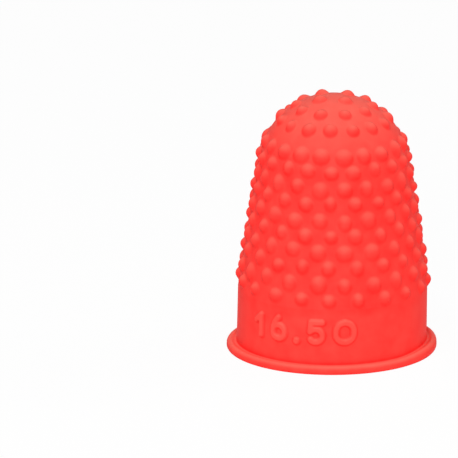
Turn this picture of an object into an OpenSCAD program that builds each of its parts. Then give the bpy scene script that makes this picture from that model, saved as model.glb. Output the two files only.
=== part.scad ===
// Rubber finger tip: a moulded thimble that gives a fingertip grip on paper.
// One piece of soft rubber, closed and round at the top and open at the bottom.
// The origin is the centre of the mouth, on the rim's flat underside; +Z runs to the round end.

/* [Inside] */
// Diameter of the mouth, where the finger goes in
mouth_d = 16.5; // [14:0.5:22]
// Length of the straight stretch inside the mouth
mouth_h = 6; // [4:0.5:8]
// Diameter inside the round end
tip_d = 12.5; // [10:0.1:14]
// Depth of the hollow, from the mouth to the inside of the round end
depth = 24.8; // [22:0.1:34]

/* [Wall] */
// Thickness of the rubber
wall = 1.25; // [0.9:0.05:1.8]
// Height of the smooth skirt under the nubs
skirt_h = 6.4; // [5:0.2:9]
// How much smaller the skirt's radius is at its top than at the rim
skirt_draft = 0.05; // [0.02:0.01:0.3]

/* [Rim] */
// How far the rim stands out from the skirt
rim_overhang = 1; // [0.6:0.1:2]
// Thickness of the rim
rim_h = 0.85; // [0.8:0.05:1.6]
// Radius that rounds the rim's two outer edges
rim_edge_r = 0.2; // [0.1:0.05:0.35]
// Radius of the fillet between the rim and the skirt
rim_fillet_r = 0.3; // [0.1:0.05:0.4]

/* [Nubs] */
// Diameter of a small nub: in the lower row of each pair and in the rings on the crown
small_nub_d = 1.4; // [0.9:0.05:1.6]
// Diameter of a large nub: in the upper row of each pair
large_nub_d = 1.6; // [0.9:0.05:1.7]
// Height of a nub above the skin
nub_rise = 0.5; // [0.4:0.05:0.8]
// Radius of a nub's rounded top
nub_tip_r = 0.34; // [0.2:0.02:0.38]
// Height of a nub's upright foot above the skin
nub_foot_h = 0.06; // [0.05:0.01:0.15]

/* [Rows on the side] */
// Number of nubs in each row round the side
side_nubs = 20; // [14:1:24]
// Distance along the skin from the top of the skirt to the lowest row
first_row = 0.95; // [0.8:0.05:3]
// Distance along the skin between the two staggered rows of a pair
row_step = 1.5; // [1.3:0.05:1.8]
// Distance along the skin from one pair of rows to the next
pair_step = 3.2; // [3:0.05:4.5]
// Smooth band along the skin that stays free under the crown's lowest ring
crown_gap = 2; // [1.5:0.1:4]

/* [Rings on the crown] */
// Number of nubs in the crown's lowest ring
low_ring_nubs = 15; // [8:1:18]
// Latitude of the lowest ring, in degrees above the round end's widest circle
low_ring_lat = 44; // [42:0.5:48]
// Number of nubs in the middle ring
mid_ring_nubs = 10; // [6:1:12]
// Latitude of the middle ring
mid_ring_lat = 59; // [57:0.5:62]
// Number of nubs in the top ring
top_ring_nubs = 4; // [3:1:5]
// Latitude of the top ring
top_ring_lat = 76; // [74:0.5:78]

/* [Hidden] */
$fn = 96;

// Number of sides that draws one nub
nub_fn = 24;
// How far a nub's root goes into the skin, which curves away under it
root = 0.12;
// How far the end of a touching line lies inside the circle that it touches
overlap = 0.002;
// How far a cutting shape reaches past the faces that it cuts
past = 1;

mouth_r = mouth_d / 2;
skirt_r = mouth_r + wall;
skirt_top_r = skirt_r - skirt_draft;
rim_r = skirt_r + rim_overhang;
tip_r = tip_d / 2;
dome_r = tip_r + wall;
dome_z = depth - tip_r;
body_h = depth + wall;

// Lean of the line from the point (r, z) that touches the circle of radius round_r, whose
// centre is on the axis at height round_z, in degrees from upright.
function lean(r, z, round_r, round_z) =
    atan2(z - round_z, r) + acos(round_r / norm([r, z - round_z]));

// Point where that line touches the circle, a hair inside it so that the two outlines overlap.
function touch(r, z, round_r, round_z) =
    let (a = lean(r, z, round_r, round_z), reach = round_r - overlap)
        [reach * cos(a), round_z + reach * sin(a)];

// The skin over the skirt is a cone of this lean and length, and then the round end.
side_lean = lean(skirt_top_r, skirt_h, dome_r, dome_z);
side_length = norm(touch(skirt_top_r, skirt_h, dome_r, dome_z) - [skirt_top_r, skirt_h]);

// Latitude on the skin at a distance along it from the top of the skirt.
function lat_at(s) = side_lean + max(0, s - side_length) / dome_r * 180 / PI;

// Radius and height of the skin at that distance.
function skin_at(s) = s < side_length
    ? [skirt_top_r - s * sin(side_lean), skirt_h + s * cos(side_lean)]
    : [dome_r * cos(lat_at(s)), dome_z + dome_r * sin(lat_at(s))];

// Distance along the skin to a latitude on the round end.
function distance_to(lat) = side_length + (lat - side_lean) * PI / 180 * dome_r;

// Pairs of rows fill the side up to the smooth band under the crown.
row_space = distance_to(low_ring_lat) - crown_gap - first_row - row_step;
row_pairs = 1 + floor(row_space / pair_step);

// Everything on one side of the axis under the closed end: a turned shape's half section.
module half_section() {
    intersection() {
        children();
        translate([0, -past]) square([rim_r + past, body_h + 2 * past]);
    }
}

// Outline of the solid rubber without rim and hollow.
module outer_section() {
    cone_end = touch(skirt_top_r, skirt_h, dome_r, dome_z);
    polygon([[0, 0], [skirt_r, 0], [skirt_top_r, skirt_h], cone_end, [0, dome_z]]);
    translate([0, dome_z]) circle(dome_r);
}

// Outline of the hollow: straight at the mouth, then a cone into the round end.
module inner_section() {
    cone_end = touch(mouth_r, mouth_h, tip_r, dome_z);
    polygon([[0, -past], [mouth_r, -past], [mouth_r, mouth_h], cone_end, [0, dome_z]]);
    translate([0, dome_z]) circle(tip_r);
}

// Outline of the rim, with both outer edges rounded.
module rim_section() {
    square([rim_r - rim_edge_r, rim_h]);
    translate([0, rim_edge_r]) square([rim_r, rim_h - 2 * rim_edge_r]);
    for (z = [rim_edge_r, rim_h - rim_edge_r])
        translate([rim_r - rim_edge_r, z]) circle(rim_edge_r);
}

// Outline of the fillet that fills the corner between the rim's top and the leaning skirt.
module fillet_section() {
    draft = atan2(skirt_draft, skirt_h);
    core_r = mouth_r + wall / 2;
    centre_z = rim_h + rim_fillet_r;
    centre_r = skirt_r - centre_z * tan(draft) + rim_fillet_r / cos(draft);
    end = [centre_r - rim_fillet_r * cos(draft), centre_z - rim_fillet_r * sin(draft)];
    difference() {
        polygon([[core_r, rim_h / 2], [centre_r, rim_h / 2], [centre_r, centre_z], end, [core_r, end[1]]]);
        translate([centre_r, centre_z]) circle(rim_fillet_r);
    }
}

// The turned shell: skirt, side and round end in one wall, with the rim at the mouth.
module shell() {
    rotate_extrude()
        half_section()
            difference() {
                union() {
                    outer_section();
                    rim_section();
                    fillet_section();
                }
                inner_section();
            }
}

// One nub, upright on z = 0: a root under the skin, an upright foot, a cone and a round top.
module nub(d) {
    $fn = nub_fn;
    nub_r = d / 2;
    ball_z = nub_rise - nub_tip_r;
    cone_end = touch(nub_r, nub_foot_h, nub_tip_r, ball_z);
    rotate_extrude()
        intersection() {
            union() {
                polygon([[0, -root], [nub_r, -root], [nub_r, nub_foot_h], cone_end, [0, ball_z]]);
                translate([0, ball_z]) circle(nub_tip_r);
            }
            translate([0, -root]) square([nub_r, root + nub_rise]);
        }
}

// A ring of nubs that stand square to the skin at a distance along it.
module nub_ring(s, count, turn, d) {
    spot = skin_at(s);
    for (i = [0 : count - 1])
        rotate([0, 0, turn + i * 360 / count - 90])
            translate([spot[0], 0, spot[1]])
                rotate([0, 90 - lat_at(s), 0])
                    nub(d);
}

// Staggered rows round the side.
module side_rows() {
    for (p = [0 : row_pairs - 1]) {
        nub_ring(first_row + p * pair_step, side_nubs, 0, small_nub_d);
        nub_ring(first_row + p * pair_step + row_step, side_nubs, 180 / side_nubs, large_nub_d);
    }
}

// Rings over the round end.
module crown_rings() {
    nub_ring(distance_to(low_ring_lat), low_ring_nubs, 0, small_nub_d);
    nub_ring(distance_to(mid_ring_lat), mid_ring_nubs, 180 / mid_ring_nubs, small_nub_d);
    nub_ring(distance_to(top_ring_lat), top_ring_nubs, 180 / top_ring_nubs, small_nub_d);
}

module finger_tip() {
    color("#f5403a") {
        shell();
        side_rows();
        crown_rings();
    }
}

finger_tip();
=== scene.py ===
import math

import bpy
import numpy as np
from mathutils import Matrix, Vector


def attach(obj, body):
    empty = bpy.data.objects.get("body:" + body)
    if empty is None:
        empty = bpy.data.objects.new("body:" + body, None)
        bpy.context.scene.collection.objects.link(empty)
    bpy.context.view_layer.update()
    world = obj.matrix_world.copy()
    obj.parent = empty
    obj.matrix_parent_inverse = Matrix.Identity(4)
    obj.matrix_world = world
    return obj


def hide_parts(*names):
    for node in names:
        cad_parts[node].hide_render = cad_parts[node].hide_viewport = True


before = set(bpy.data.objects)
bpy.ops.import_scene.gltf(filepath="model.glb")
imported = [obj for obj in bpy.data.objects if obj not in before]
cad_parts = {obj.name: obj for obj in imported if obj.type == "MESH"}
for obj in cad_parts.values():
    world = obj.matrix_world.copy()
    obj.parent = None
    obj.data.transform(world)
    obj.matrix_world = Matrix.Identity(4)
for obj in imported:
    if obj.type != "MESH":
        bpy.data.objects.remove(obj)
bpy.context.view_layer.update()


# Shell of the finger tip
# The real piece is one moulding of soft rubber, thin enough to stretch over a finger.
# Its wall is a turned form: a round end, a leaning side, a skirt and a rim round the mouth.
MM = 0.001
mouth_r = 8.25 * MM
mouth_h = 6.0 * MM
mouth_edge_r = 0.25 * MM
tip_r = 6.25 * MM
depth = 24.8 * MM
wall = 1.25 * MM
skirt_h = 6.4 * MM
skirt_draft = 0.05 * MM
rim_overhang = 1.0 * MM
rim_h = 0.85 * MM
rim_foot_r = 0.3 * MM
# The rim's top is a round bead, and a narrow groove runs between it and the skirt.
rim_bead_r = 0.42 * MM
bead_start = math.radians(130)
groove_r = 0.12 * MM
groove_over_rim = 0.02 * MM

skirt_r = mouth_r + wall
skirt_top_r = skirt_r - skirt_draft
rim_r = skirt_r + rim_overhang
dome_r = tip_r + wall
dome_z = depth - tip_r
body_h = depth + wall


def touching_line(r, z, round_r):
    """Lean from upright, and length, of the line from (r, z) that touches the round end's circle.
    Lean is the point's latitude seen from the circle's centre, plus the angle whose cosine is the
    radius over the distance. Length is the root of distance squared less radius squared."""
    away = math.hypot(r, z - dome_z)
    lean = math.atan2(z - dome_z, r) + math.acos(round_r / away)
    return lean, math.sqrt(away ** 2 - round_r ** 2)


def straight(start, end, steps):
    """Stretch of the section from start to end: radius, height and normal angle of its points.
    Points go evenly along the line, and the normal is the line's direction turned to its left."""
    t = np.arange(steps) / steps
    dr, dz = end[0] - start[0], end[1] - start[1]
    return start[0] + t * dr, start[1] + t * dz, np.full(steps, math.atan2(dr, -dz))


def bend(centre, radius, first, last, steps):
    """Arc of the section, in the same form: centre plus radius times cosine and sine of the angle.
    A falling angle is an outer bend with its normal outwards, and a rising one is an inner bend."""
    a = first + (last - first) * np.arange(steps) / steps
    turned = 0.0 if last < first else math.pi
    return centre[0] + radius * np.cos(a), centre[1] + radius * np.sin(a), a + turned


def skirt_at(z):
    """Point of the skirt at a height: its radius narrows evenly from the rim to the skirt's top."""
    return skirt_r - skirt_draft * z / skirt_h, z


side_lean, side_length = touching_line(skirt_top_r, skirt_h, dome_r)
side_top = (dome_r * math.cos(side_lean), dome_z + dome_r * math.sin(side_lean))
inner_lean = touching_line(mouth_r, mouth_h, tip_r)[0]
inner_top = (tip_r * math.cos(inner_lean), dome_z + tip_r * math.sin(inner_lean))
skirt_top = (skirt_top_r, skirt_h)
groove_c = (skirt_r + groove_r, rim_h + groove_over_rim)
groove_foot = (groove_c[0], groove_c[1] - groove_r)
bead_c = (rim_r - rim_bead_r, rim_h - rim_bead_r)
bead_foot = (bead_c[0] + rim_bead_r * math.cos(bead_start), bead_c[1] + rim_bead_r * math.sin(bead_start))
foot_c = (rim_r - rim_foot_r, rim_foot_r)
mouth_edge_c = (mouth_r + mouth_edge_r, mouth_edge_r)

# The number's band of the skirt gets close rows, and the plain skirt over and under it wide ones.
band_low, band_high = 2.4 * MM, 5.8 * MM
ridged_section = [
    bend((0, dome_z), dome_r, math.pi / 2, side_lean, steps=76),
    straight(side_top, skirt_top, steps=86),
    straight(skirt_top, skirt_at(band_high), steps=4),
    straight(skirt_at(band_high), skirt_at(band_low), steps=30),
]
plain_section = [
    straight(skirt_at(band_low), (skirt_r, groove_c[1]), steps=5),
    bend(groove_c, groove_r, math.pi, 1.5 * math.pi, steps=4),
    straight(groove_foot, bead_foot, steps=1),
    bend(bead_c, rim_bead_r, bead_start, 0, steps=9),
    bend(foot_c, rim_foot_r, 0, -math.pi / 2, steps=6),
    straight((foot_c[0], 0), (mouth_edge_c[0], 0), steps=3),
    bend(mouth_edge_c, mouth_edge_r, -math.pi / 2, -math.pi, steps=4),
    straight((mouth_r, mouth_edge_r), (mouth_r, mouth_h), steps=4),
    straight((mouth_r, mouth_h), inner_top, steps=8),
    bend((0, dome_z), tip_r, inner_lean, math.pi / 2, steps=14),
]
# The section starts at the pole, which gets a vertex of its own, so the first row is left out.
section = ridged_section + plain_section
r_row, z_row, normal_row = (np.concatenate([part[i] for part in section])[1:] for i in range(3))
rows = len(r_row)
ridge_rows = np.arange(rows)[:, None] < sum(len(part[0]) for part in ridged_section)

# Columns go round the axis from the back, and lie closer together at the front, where -Y is.
columns = 392
front_closeness = 0.2
front = -math.pi / 2
turn = 2 * math.pi * np.arange(columns) / columns
azimuth = math.pi / 2 + turn + front_closeness * np.sin(turn)
r_grid, z_grid, normal_grid = (np.repeat(row[:, None], columns, 1) for row in (r_row, z_row, normal_row))
azimuth_grid = np.repeat(azimuth[None, :], rows, 0)


# Nubs
# They are part of the moulding: short cones with rounded tops that grip paper, in staggered
# rows round the side and in rings over the round end. Their feet run softly into the skin,
# and no two are quite alike.
nub_rise = 0.48 * MM
nub_r = 0.76 * MM
nub_power = 1.7
nub_tip = 0.1 * MM
nub_tip_share = 0.6
nub_foot = 0.03 * MM
rise_range = (0.86, 1.03)
radius_range = (0.9, 1.09)
oval_range = (0.84, 1.16)
azimuth_spread = 0.01
height_spread = 0.08 * MM
nub_draws = np.random.default_rng(seed=7)

# A pair of rows is a low and a high one. A start is how far a row's first nub lies from the
# front, as a share of the row's pitch, and a size is a share of nub_r. The rows fall to the
# right by row_tilt. A crown ring is its latitude in degrees, its count and its start.
side_nubs = 20
row_pairs = 5
first_row = 0.95 * MM
row_step = 1.5 * MM
pair_step = 3.2 * MM
low_row_start, high_row_start = -0.06, 0.5
low_row_size, high_row_size = 0.94, 1.06
row_tilt = -0.018
crown_rings = [(44.0, 15, -0.1), (59.0, 10, 0.5), (76.0, 4, 0.45)]


def skin_spot(s):
    """Radius and height of the skin at a distance s along it from the skirt's top.
    The side is a line, and over it the round end turns by distance over radius."""
    if s < side_length:
        return skirt_top_r - s * math.sin(side_lean), skirt_h + s * math.cos(side_lean)
    lat = side_lean + (s - side_length) / dome_r
    return dome_r * math.cos(lat), dome_z + dome_r * math.sin(lat)


def nub_height(d, rise, radius):
    """Height over the skin at a distance d from a nub's middle.
    Rise times one less the power nub_power of d over the radius, met softly with the skin by a parabola.
    The distance is rounded off by nub_tip near the middle, so that the top isn't a point, and the
    radius gives way by a share of that."""
    rounded = np.sqrt(d ** 2 + nub_tip ** 2) - nub_tip
    cap = rise * (1 - (rounded / (radius - nub_tip * nub_tip_share)) ** nub_power)
    foot = (cap + nub_foot) ** 2 / (4 * nub_foot)
    return np.where(cap > nub_foot, cap, np.where(cap > -nub_foot, foot, 0.0))


def ring_height(spot, count, start, size):
    """Height that one ring of nubs adds all over the grid.
    Each point looks to the nub that is nearest in azimuth. Its distance squared is the level part
    squared, by the law of cosines, plus the upright part squared, and the nub's stretch multiplies
    the first and divides the second, which makes the nub oval."""
    pitch = 2 * math.pi / count
    steps = (azimuth_grid - front) / pitch - start
    which = np.round(steps).astype(int)
    own = which % count
    rise = nub_rise * nub_draws.uniform(*rise_range, count)[own]
    radius = nub_r * size * nub_draws.uniform(*radius_range, count)[own]
    middle = (which + start) * pitch + front + nub_draws.normal(0, azimuth_spread, count)[own]
    height = spot[1] + row_tilt * spot[0] * np.cos(middle) + nub_draws.normal(0, height_spread, count)[own]
    stretch = nub_draws.uniform(*oval_range, count)[own]
    across = r_grid ** 2 + spot[0] ** 2 - 2 * r_grid * spot[0] * np.cos(azimuth_grid - middle)
    return nub_height(np.sqrt(across * stretch + (z_grid - height) ** 2 / stretch), rise, radius)


rings = []
for pair in range(row_pairs):
    low_row = first_row + pair * pair_step
    rings.append((skin_spot(low_row), side_nubs, low_row_start, low_row_size))
    rings.append((skin_spot(low_row + row_step), side_nubs, high_row_start, high_row_size))
for lat, count, start in crown_rings:
    distance = side_length + (math.radians(lat) - side_lean) * dome_r
    rings.append((skin_spot(distance), count, start, low_row_size))
nub_field = sum(ring_height(*ring) for ring in rings)


# Number on the skirt
# Such finger tips carry their size as raised digits from the mould. These are plain digits:
# the width of the mouth in millimetres, drawn as round-ended strokes that stand a little proud.
digit_h = 2.6 * MM
digit_stroke = 0.58 * MM
digit_relief = 0.28 * MM
digit_soft = 0.14 * MM
digit_base = 2.85 * MM
digit_line = digit_h - digit_stroke
point_extra_r = 0.06 * MM
number_middle = math.radians(-18.5)


def stroke_distance(x, z, a, b):
    """Distance from each point of the grid to the straight stroke from a to b.
    The point is dropped square onto the stroke's line, and its foot is held between the two ends."""
    ax, az, bx, bz = *a, *b
    t = ((x - ax) * (bx - ax) + (z - az) * (bz - az)) / ((bx - ax) ** 2 + (bz - az) ** 2)
    t = np.clip(t, 0, 1)
    return np.hypot(x - ax - t * (bx - ax), z - az - t * (bz - az))


def arc_distance(x, z, centre, radius, first, last):
    """Distance to the round stroke between two angles, given in degrees anticlockwise.
    A point inside that span measures to the circle, and any other to the nearer end."""
    a = np.degrees(np.arctan2(z - centre[1], x - centre[0]))
    inside = (a - first) % 360 <= last - first
    ends = [
        np.hypot(x - centre[0] - radius * math.cos(e), z - centre[1] - radius * math.sin(e))
        for e in (math.radians(first), math.radians(last))
    ]
    on_circle = np.abs(np.hypot(x - centre[0], z - centre[1]) - radius)
    return np.where(inside, on_circle, np.minimum(*ends))


def one(x, z):
    """Figure one: an upright, and a short flag that falls back from its top.
    Distance to the nearer of the two strokes."""
    upright_x = 0.15 * digit_line
    flag_end = (-0.2 * digit_line, 0.7 * digit_line)
    return np.minimum(
        stroke_distance(x, z, (upright_x, 0), (upright_x, digit_line)),
        stroke_distance(x, z, (upright_x, digit_line), flag_end),
    )


def six(x, z):
    """Figure six: a round bowl and a curved stem that rises from its left side.
    Distance to the nearer of the two strokes."""
    bowl_r = 0.34 * digit_line
    stem_r = 0.95 * digit_line
    return np.minimum(
        arc_distance(x, z, (0, bowl_r), bowl_r, first=0, last=360),
        arc_distance(x, z, (stem_r - bowl_r, bowl_r), stem_r, first=132, last=180),
    )


def point(x, z):
    """Decimal point: a single round dot on the base line, a little wider than a stroke.
    Distance to its middle, less what its radius has over half a stroke."""
    return np.hypot(x, z) - point_extra_r


def five(x, z):
    """Figure five: a top bar, a short upright and an open bowl.
    Distance to the nearest of the three strokes."""
    bar_start, bar_end = (-0.26 * digit_line, digit_line), (0.3 * digit_line, digit_line)
    upright_foot = (-0.3 * digit_line, 0.52 * digit_line)
    bowl_r = 0.33 * digit_line
    bowl_x = -0.02 * digit_line
    return np.minimum.reduce([
        stroke_distance(x, z, bar_start, bar_end),
        stroke_distance(x, z, bar_start, upright_foot),
        arc_distance(x, z, (bowl_x, bowl_r), bowl_r, first=-140, last=140),
    ])


def nought(x, z):
    """Figure nought: two round ends joined by short straight sides.
    Distance to the upright line between the ends' centres, less the ends' radius."""
    end_r = 0.44 * digit_line
    between = np.clip(z, end_r, digit_line - end_r)
    return np.abs(np.hypot(x, z - between) - end_r)


def soft_step(t):
    """Nought up to 0, one from 1 on, and a soft rise between: t squared times three less twice t."""
    t = np.clip(t, 0, 1)
    return t * t * (3 - 2 * t)


# Each figure's place is how far its middle lies along the skirt from the number's middle.
figures = [
    (one, -4.9 * MM),
    (six, -2.35 * MM),
    (point, -0.35 * MM),
    (five, 1.65 * MM),
    (nought, 4.5 * MM),
]
# On the skirt, x is the azimuth from the number's middle times the radius, and z starts half a
# stroke over digit_base. A stroke's edge falls softly over digit_soft, half of it on each side.
from_middle = (azimuth_grid - front - number_middle + math.pi) % (2 * math.pi) - math.pi
x_skirt = from_middle * r_grid
z_skirt = z_grid - digit_base - digit_stroke / 2
stroke_gap = np.minimum.reduce([figure(x_skirt - place, z_skirt) for figure, place in figures])
past_edge = (stroke_gap - digit_stroke / 2) / digit_soft
number_field = digit_relief * soft_step(0.5 - past_edge)


# Finger tip
# The moulding as it leaves the mould: the turned shell with its nubs and number raised square
# to the skin. It is one closed skin, outside, rim and hollow, and stands on its rim.
raised = np.where(ridge_rows, nub_field + number_field, 0.0)
r_out = r_grid + raised * np.cos(normal_grid)
z_out = z_grid + raised * np.sin(normal_grid)
ring_points = np.stack([r_out * np.cos(azimuth_grid), r_out * np.sin(azimuth_grid), z_out], -1)
poles = [[0, 0, dome_z + dome_r], [0, 0, dome_z + tip_r]]
points = np.concatenate([ring_points.reshape(-1, 3), poles])

# Soft rubber doesn't stand quite straight: over the rim it bows to the right by sway times
# the sine of its height, of which half a wave is sway_length long. The rim grows thicker
# towards its right end by a soft step, and the swell fades out in the skirt.
sway = 0.19 * MM
sway_length = 36 * MM
rim_swell = 0.3 * MM
swell_start = 6.5 * MM
swell_fade = 1.5 * MM
over_rim = points[:, 2] - rim_h
points[:, 0] += sway * np.sin(math.pi * np.clip(over_rim, 0, None) / sway_length)
to_right = soft_step((points[:, 0] - swell_start) / (rim_r - swell_start))
near_rim = np.clip(points[:, 2] / rim_h, 0, 1) * np.clip(1 - over_rim / swell_fade, 0, 1)
points[:, 2] += rim_swell * to_right * near_rim

# Rows are numbered down the outside and up the hollow, and a fan closes the skin at each pole.
index = np.arange(rows * columns).reshape(rows, columns)
beside = np.roll(index, -1, 1)
top_pole = np.full(columns, rows * columns)
quads = np.stack([index[:-1], index[1:], beside[1:], beside[:-1]], -1).reshape(-1, 4)
top_fan = np.stack([top_pole, index[0], beside[0]], -1)
inner_fan = np.stack([top_pole + 1, beside[-1], index[-1]], -1)

tip_mesh = bpy.data.meshes.new("finger_tip_skin")
tip_mesh.from_pydata(points.tolist(), [], quads.tolist() + top_fan.tolist() + inner_fan.tolist())
tip_mesh.polygons.foreach_set("use_smooth", np.ones(len(tip_mesh.polygons), bool))
tip_mesh.update()
finger_tip = bpy.data.objects.new("finger_tip_moulding", tip_mesh)
bpy.context.scene.collection.objects.link(finger_tip)

# A pale bloom lies on the rubber, painted per vertex from the skin's own form: a little more on
# the skirt and a little less on the rim. Painted light and shade go into the same paint: painted
# light, the strongest term, where the skin faces up, painted highlights on the nubs' tops and the
# digits, and painted shade on the nubs' flanks, in the groove, round the digits and where the skin faces
# down.
bloom_everywhere = 0.205
# Painted light: the skin is paler the more it faces up.
painted_light_up, up_power = 0.77, 1.8
# Painted shade: the skin is deeper where it faces down.
painted_shade_down = -0.06
# Painted shade on the nubs' flanks, where the skin turns away from the shell.
painted_shade_flank, full_flank = -0.05, 0.3
# Painted shade in the groove between the skirt and the rim.
painted_shade_groove, groove_reach = -0.3, 0.4 * MM
bloom_rim = -0.03
# Painted highlight on the nubs' tops.
painted_highlight_nub, full_nub = 0.05, 0.6
# Painted highlight on the digits' tops.
painted_highlight_digit = 0.16
# Painted shade round the digits' edges, at their feet.
painted_shade_digit_edge = -0.15
bloom_skirt, skirt_fade = 0.07, 1.2 * MM

vertex_normals = np.empty(len(points) * 3)
tip_mesh.vertex_normals.foreach_get("vector", vertex_normals)
facing = vertex_normals.reshape(-1, 3)[:rows * columns].reshape(rows, columns, 3)
outwards = np.cos(normal_grid)
shell_facing = np.stack(
    [outwards * np.cos(azimuth_grid), outwards * np.sin(azimuth_grid), np.sin(normal_grid)], -1
)
flank = np.clip((1 - (facing * shell_facing).sum(-1)) / full_flank, 0, 1)
up = np.clip(facing[..., 2], 0, 1) ** up_power
down = np.clip(-facing[..., 2], 0, 1)
groove = np.clip(1 - np.hypot(r_grid - groove_c[0], z_grid - groove_c[1]) / groove_reach, 0, 1)
on_rim = np.clip((r_grid - skirt_r) / rim_overhang, 0, 1)
nub_top = np.clip(nub_field / nub_rise / full_nub, 0, 1)
digit_top = number_field / digit_relief
digit_edge = np.clip(1 - np.abs(past_edge - 0.5), 0, 1)
plain_skirt = np.clip((skirt_h - z_grid) / skirt_fade, 0, 1)

# The bloom and the painted light and shade are summed into one paint, from deep (0) to pale (1).
bloom_and_painted_light = bloom_everywhere + painted_light_up * up + painted_shade_down * down + painted_shade_flank * flank
bloom_and_painted_light += painted_shade_groove * groove + bloom_rim * on_rim + bloom_skirt * plain_skirt
# Painted highlights and painted shade that only the nubs and digits carry.
ridge_painted_light = painted_highlight_nub * nub_top + painted_highlight_digit * digit_top + painted_shade_digit_edge * digit_edge
bloom_and_painted_light = np.clip(bloom_and_painted_light + np.where(ridge_rows, ridge_painted_light, 0), 0, 1)
bloom_and_painted_light = np.append(bloom_and_painted_light, [bloom_and_painted_light[0].mean(), bloom_and_painted_light[-1].mean()])
tip_mesh.attributes.new("bloom_and_painted_light", "FLOAT", "POINT").data.foreach_set("value", bloom_and_painted_light)

# The rubber is matt and a little cloudy, and its finest grain shows only close up.
deep_red = (0.975, 0.0128, 0.0128, 1)
pale_red = (0.98, 0.143, 0.107, 1)
cloud_middle = (0.3, 0.7)
cloud_bloom = (-0.06, 0.06)
roughness_range = (0.48, 0.66)
rubber = bpy.data.materials.new("coral_red_rubber")
rubber.use_nodes = True
nodes, links = rubber.node_tree.nodes, rubber.node_tree.links
shader = nodes["Principled BSDF"]
shader.inputs["Specular IOR Level"].default_value = 0.04
place = nodes.new("ShaderNodeTexCoord")


def noise(scale, detail):
    """Noise on the piece's own coordinates, in spots about one over the scale of a metre wide."""
    texture = nodes.new("ShaderNodeTexNoise")
    texture.inputs["Scale"].default_value = scale
    texture.inputs["Detail"].default_value = detail
    links.new(place.outputs["Object"], texture.inputs["Vector"])
    return texture.outputs["Fac"]


def spread(value, from_range, to_range):
    """A value between the first two limits, spread evenly between the second two and held there."""
    ranges = nodes.new("ShaderNodeMapRange")
    ranges.inputs["From Min"].default_value, ranges.inputs["From Max"].default_value = from_range
    ranges.inputs["To Min"].default_value, ranges.inputs["To Max"].default_value = to_range
    links.new(value, ranges.inputs["Value"])
    return ranges.outputs["Result"]


cloud = noise(scale=650, detail=2)
grain = noise(scale=2600, detail=3)
# The base colour reads the painted bloom, light and shade.
painted = nodes.new("ShaderNodeAttribute")
painted.attribute_name = "bloom_and_painted_light"
clouded = nodes.new("ShaderNodeMath")
clouded.operation = "ADD"
clouded.use_clamp = True
links.new(painted.outputs["Fac"], clouded.inputs[0])
links.new(spread(cloud, cloud_middle, cloud_bloom), clouded.inputs[1])
tone = nodes.new("ShaderNodeMix")
tone.data_type = "RGBA"
tone.inputs["A"].default_value = deep_red
tone.inputs["B"].default_value = pale_red
links.new(clouded.outputs["Value"], tone.inputs["Factor"])
links.new(tone.outputs["Result"], shader.inputs["Base Color"])
links.new(spread(cloud, (0, 1), roughness_range), shader.inputs["Roughness"])
bump = nodes.new("ShaderNodeBump")
bump.inputs["Strength"].default_value = 0.12
bump.inputs["Distance"].default_value = 0.03 * MM
links.new(grain, bump.inputs["Height"])
links.new(bump.outputs["Normal"], shader.inputs["Normal"])
finger_tip.data.materials.append(rubber)

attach(finger_tip, "root")
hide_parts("finger_tip")


# Table
# A plain white table top under the finger tip. It shows white to the camera and keeps a soft
# shadow, and from below it lets the camera through.
table_half = 0.6
table_white = (0.9, 0.9, 0.9, 1)
glow_share = 0.96


def rays_that_show(nodes, links):
    """One for rays that show a surface as it is: from the camera, off gloss or through glass.
    It is the greatest of the three ray tests, each of which is nought or one."""
    ray = nodes.new("ShaderNodeLightPath")
    seen = ray.outputs["Is Camera Ray"]
    for kind in ("Is Glossy Ray", "Is Transmission Ray"):
        either = nodes.new("ShaderNodeMath")
        either.operation = "MAXIMUM"
        links.new(seen, either.inputs[0])
        links.new(ray.outputs[kind], either.inputs[1])
        seen = either.outputs["Value"]
    return seen


table_mesh = bpy.data.meshes.new("table_top")
corners = [(-1, -1), (1, -1), (1, 1), (-1, 1)]
table_mesh.from_pydata([(x * table_half, y * table_half, 0) for x, y in corners], [], [(0, 1, 2, 3)])
table = bpy.data.objects.new("table_top", table_mesh)
bpy.context.scene.collection.objects.link(table)
white = bpy.data.materials.new("white_table")
white.use_nodes = True
nodes, links = white.node_tree.nodes, white.node_tree.links
nodes.clear()
matt = nodes.new("ShaderNodeBsdfDiffuse")
matt.inputs["Color"].default_value = table_white
glow = nodes.new("ShaderNodeEmission")
glow.inputs["Strength"].default_value = 1.0
share = nodes.new("ShaderNodeMath")
share.operation = "MULTIPLY"
share.inputs[1].default_value = glow_share
links.new(rays_that_show(nodes, links), share.inputs[0])
lit = nodes.new("ShaderNodeMixShader")
links.new(share.outputs["Value"], lit.inputs["Fac"])
links.new(matt.outputs["BSDF"], lit.inputs[1])
links.new(glow.outputs["Emission"], lit.inputs[2])
side = nodes.new("ShaderNodeNewGeometry")
clear = nodes.new("ShaderNodeBsdfTransparent")
both = nodes.new("ShaderNodeMixShader")
links.new(side.outputs["Backfacing"], both.inputs["Fac"])
links.new(lit.outputs["Shader"], both.inputs[1])
links.new(clear.outputs["BSDF"], both.inputs[2])
out = nodes.new("ShaderNodeOutputMaterial")
links.new(both.outputs["Shader"], out.inputs["Surface"])
table.data.materials.append(white)


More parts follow.
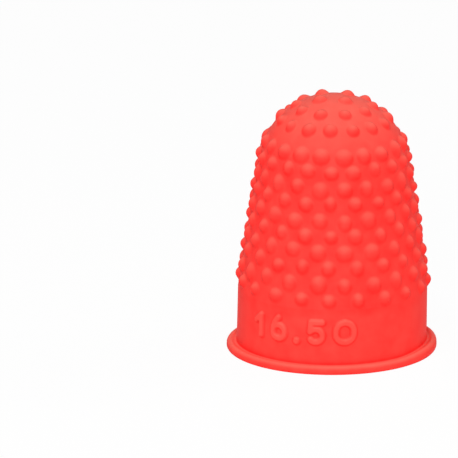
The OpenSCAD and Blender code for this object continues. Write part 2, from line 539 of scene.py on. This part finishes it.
# Light
# A white room gives even light from all sides and shows plain white to the camera. Four soft
# square lamps add to it: the strongest in front, one high up, a weak one on the left, and a
# stronger one on the right that stands a little behind.
room_strength = 0.24
world = bpy.data.worlds.new("white_room")
bpy.context.scene.world = world
world.use_nodes = True
nodes, links = world.node_tree.nodes, world.node_tree.links
room = nodes["Background"]
room.inputs["Color"].default_value = (1, 1, 1, 1)
room.inputs["Strength"].default_value = room_strength
backdrop = nodes.new("ShaderNodeBackground")
backdrop.inputs["Color"].default_value = (1, 1, 1, 1)
backdrop.inputs["Strength"].default_value = 1.0
mix = nodes.new("ShaderNodeMixShader")
links.new(rays_that_show(nodes, links), mix.inputs["Fac"])
links.new(room.outputs["Background"], mix.inputs[1])
links.new(backdrop.outputs["Background"], mix.inputs[2])
links.new(mix.outputs["Shader"], nodes["World Output"].inputs["Surface"])


def soft_lamp(name, place, size, level):
    """Square lamp at a place, turned to the finger tip, that adds a level of light there.
    Level 1 shows white as white. Power is pi squared times the level and the distance squared."""
    reach = Vector((0, 0, body_h / 2)) - Vector(place)
    data = bpy.data.lights.new(name, "AREA")
    data.size = size
    data.energy = level * math.pi ** 2 * reach.length_squared
    lamp = bpy.data.objects.new(name, data)
    bpy.context.scene.collection.objects.link(lamp)
    lamp.location = place
    lamp.rotation_euler = reach.to_track_quat("-Z", "Y").to_euler()


soft_lamp("front_lamp", place=(0.0, -0.30, 0.12), size=0.06, level=0.62)
soft_lamp("left_lamp", place=(-0.28, -0.03, 0.11), size=0.14, level=0.11)
soft_lamp("right_lamp", place=(0.28, 0.09, 0.13), size=0.14, level=0.29)
soft_lamp("top_lamp", place=(-0.08, -0.12, 0.28), size=0.10, level=0.31)


# Camera
# It stands in front and looks down a little, with a long lens, as in the photograph. Its scale
# is in pixels to the millimetre. The axis is at the column axis_px of the photograph, and the
# middle of the mouth at its row base_px.
photo_size = 458
photo_scale = 10.0
axis_px, base_px = 331.6, 346.4
view_elevation = math.radians(15.7)
view_azimuth = math.radians(1.5)
camera_data = bpy.data.cameras.new("camera")
camera_data.lens = 1200
camera_data.sensor_width = 36
camera_data.clip_start = 0.01
camera_data.clip_end = 10
camera = bpy.data.objects.new("camera", camera_data)
bpy.context.scene.collection.objects.link(camera)
bpy.context.scene.camera = camera
frame_width = photo_size / photo_scale * MM
camera_distance = frame_width * camera_data.lens / camera_data.sensor_width
right = Vector((math.cos(view_azimuth), math.sin(view_azimuth), 0))
to_front = Vector((math.sin(view_azimuth), -math.cos(view_azimuth), 0))
back = to_front * math.cos(view_elevation) + Vector((0, 0, math.sin(view_elevation)))
up_frame = back.cross(right)
middle_px = photo_size / 2
aim = right * (middle_px - axis_px) / photo_scale * MM + up_frame * (base_px - middle_px) / photo_scale * MM
camera.location = aim + back * camera_distance
camera.rotation_mode = "QUATERNION"
camera.rotation_quaternion = (-back).to_track_quat("-Z", "Y")

bpy.context.scene.view_settings.view_transform = "Standard"
